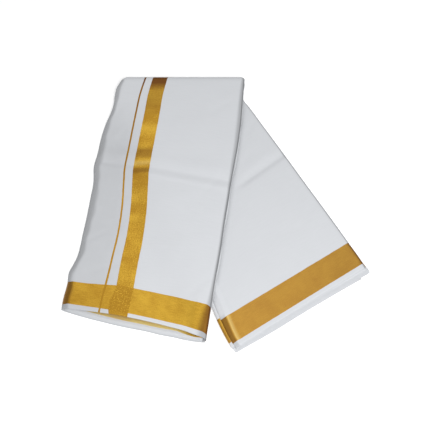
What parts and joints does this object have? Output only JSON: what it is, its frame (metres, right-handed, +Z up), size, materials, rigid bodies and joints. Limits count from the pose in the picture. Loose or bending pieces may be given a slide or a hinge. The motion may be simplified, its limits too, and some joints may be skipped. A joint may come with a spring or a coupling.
{
  "type": "folded dhoti cloth",
  "caption": "White cotton dhoti cloth with woven gold borders, folded into a long strip, folded once across and laid flat with its two halves splayed.",
  "frame": {"origin": "middle of the laid cloth's outline in plan, on the surface that it lies on", "axes": "+Z up, +Y towards the top fold, +X to the right as seen from the open ends, towards the half that lies underneath"},
  "size_m": [0.635, 0.68, 0.0246],
  "materials": {
    "white_cotton_zari": "fine plain-weave white cotton with woven metallic gold zari borders, band and line",
    "white_cotton": "fine plain-weave white cotton"
  },
  "bodies": {
    "root": {"front_leaf": "white_cotton_zari", "front_second_leaf": "white_cotton_zari", "back_leaf": "white_cotton_zari", "back_second_leaf": "white_cotton_zari", "inner_leaves": "white_cotton"}
  },
  "joints": []
}
